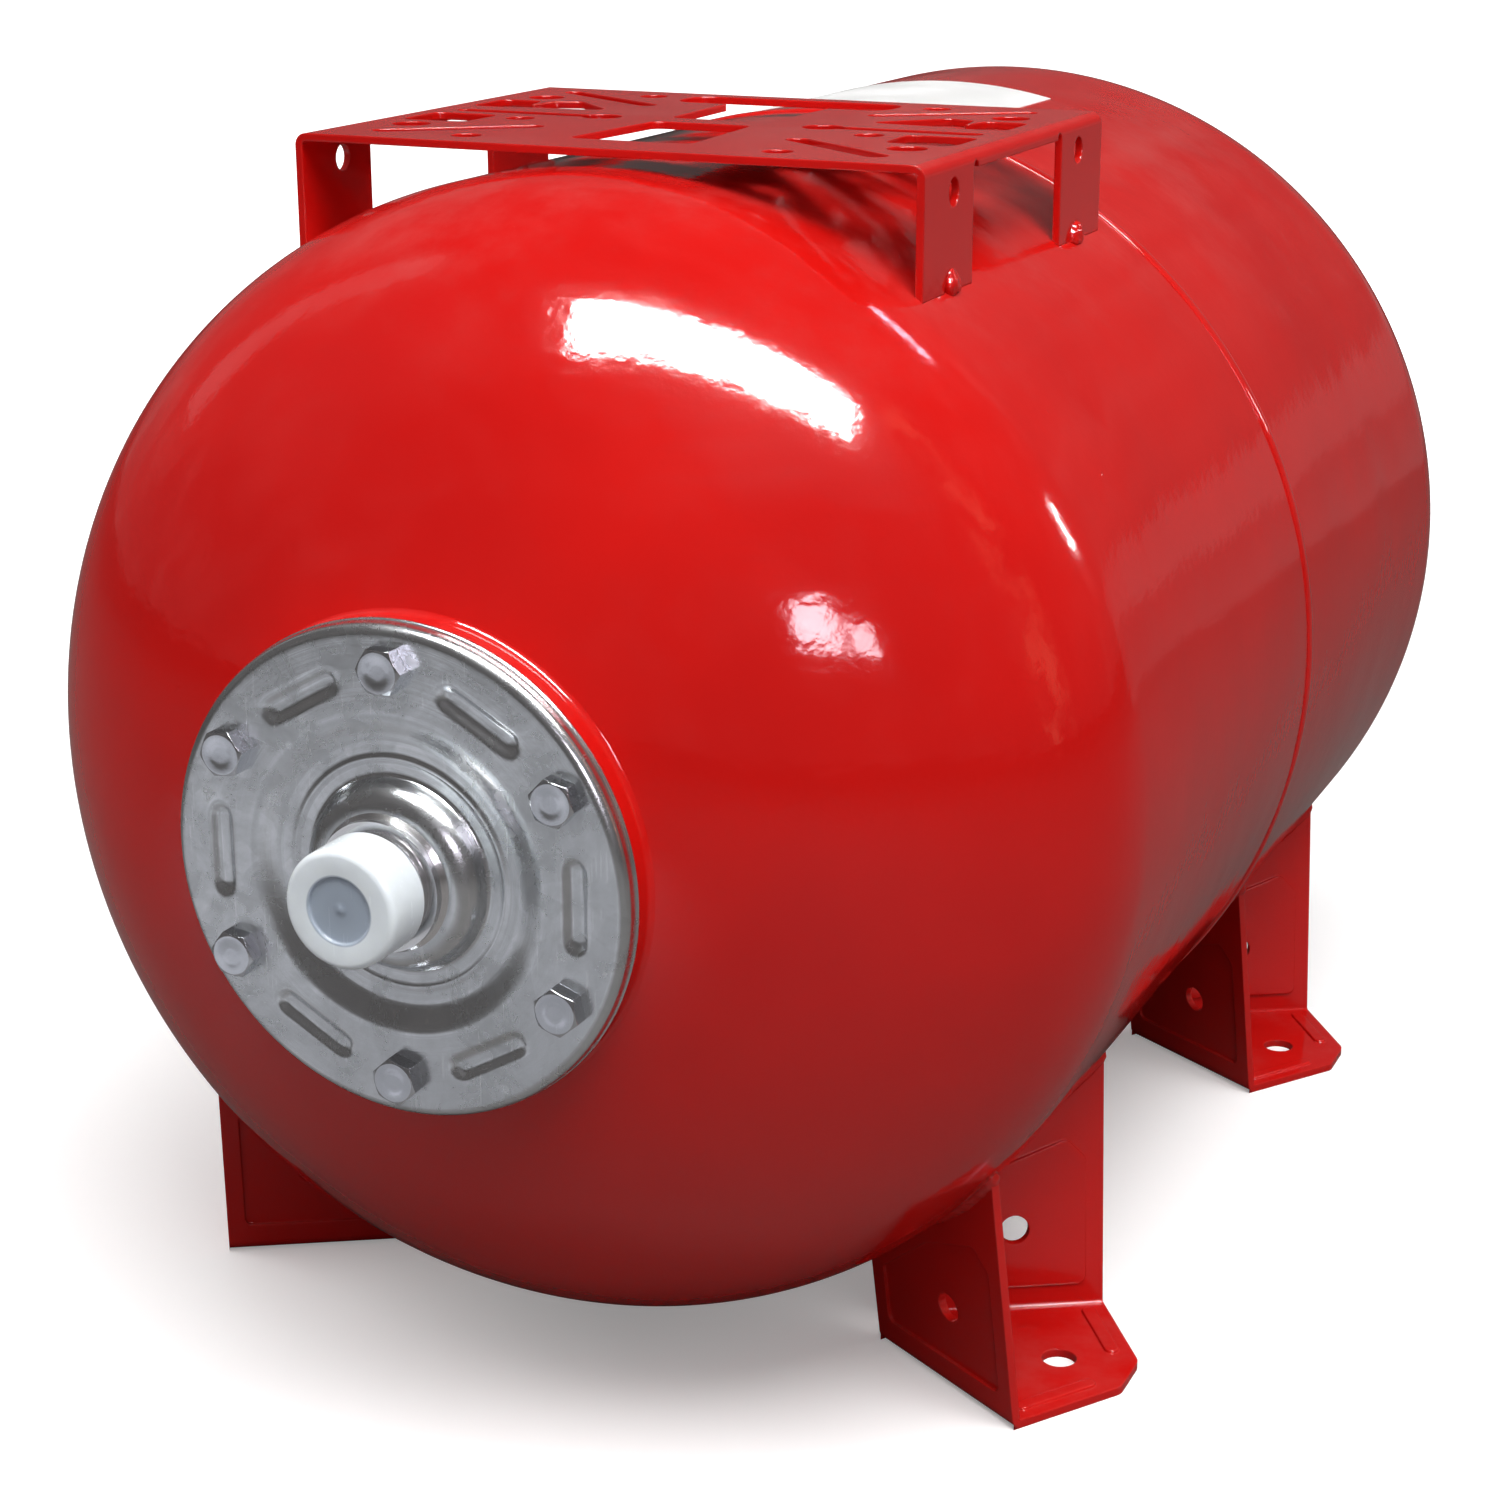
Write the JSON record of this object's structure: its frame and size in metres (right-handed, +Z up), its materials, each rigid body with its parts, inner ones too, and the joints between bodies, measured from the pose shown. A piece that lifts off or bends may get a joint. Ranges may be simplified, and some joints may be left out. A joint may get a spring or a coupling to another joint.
{
  "type": "membrane pressure tank",
  "caption": "Horizontal cylindrical steel pressure tank with domed ends, bolted flange and capped threaded connection, splayed bracket feet and a slotted platform on top for a pump.",
  "frame": {"origin": "on the floor, under the middle of the whole object's length and width", "axes": "+Y along the tank from the water connection to the air valve, +Z up, +X to the right seen from the water connection"},
  "size_m": [0.3824, 0.697, 0.4093],
  "materials": {
    "shell_paint": "gloss red powder coat",
    "mouth_paint": "gloss red powder coat",
    "platform_paint": "gloss red powder coat",
    "foot_paint": "gloss red powder coat",
    "valve_paint": "gloss red powder coat",
    "flange_zinc": "galvanised, mottled",
    "bolt_zinc": "bright zinc plate",
    "nipple_zinc": "bright zinc plate",
    "membrane_rubber": "matt",
    "cap_plastic": "milky, slightly translucent",
    "label_film": "satin film, left blank",
    "valve_brass": "turned",
    "seal_rubber": "matt",
    "spring_steel": "drawn wire",
    "cover_plastic": "moulded, satin"
  },
  "bodies": {
    "tank": {"front_shell": "shell_paint", "rear_shell": "shell_paint", "girth_weld": "shell_paint", "mouth_ring": "mouth_paint", "mouth_weld": "mouth_paint", "pump_platform": "platform_paint", "platform_welds": "platform_paint", "foot_front_left": "foot_paint", "foot_front_right": "foot_paint", "foot_rear_left": "foot_paint", "foot_rear_right": "foot_paint", "foot_welds": "foot_paint", "valve_boss": "valve_paint", "valve_weld": "valve_paint", "flange": "flange_zinc", "nipple_weld": "flange_zinc", "flange_bolts": "bolt_zinc", "connector_nipple": "nipple_zinc", "membrane": "membrane_rubber", "label": "label_film", "valve_stem": "valve_brass", "valve_core": "valve_brass", "valve_seal": "seal_rubber"},
    "cap": {"thread_cap": "cap_plastic"},
    "cover": {"valve_cover": "cover_plastic"},
    "pin": {"valve_pin": "valve_brass", "valve_spring": "spring_steel"}
  },
  "joints": [
    {"name": "cap_pull", "type": "slide", "parent": "tank", "child": "cap", "axis": [0, -1, 0], "range_m": [0, 0.04]},
    {"name": "cover_pull", "type": "slide", "parent": "tank", "child": "cover", "axis": [0, 1, 0], "range_m": [0, 0.035]},
    {"name": "pin_press", "type": "slide", "parent": "tank", "child": "pin", "axis": [0, -1, 0], "range_m": [0, 0.0012], "stiffness_N_per_m": 400, "springref_m": -0.003}
  ]
}
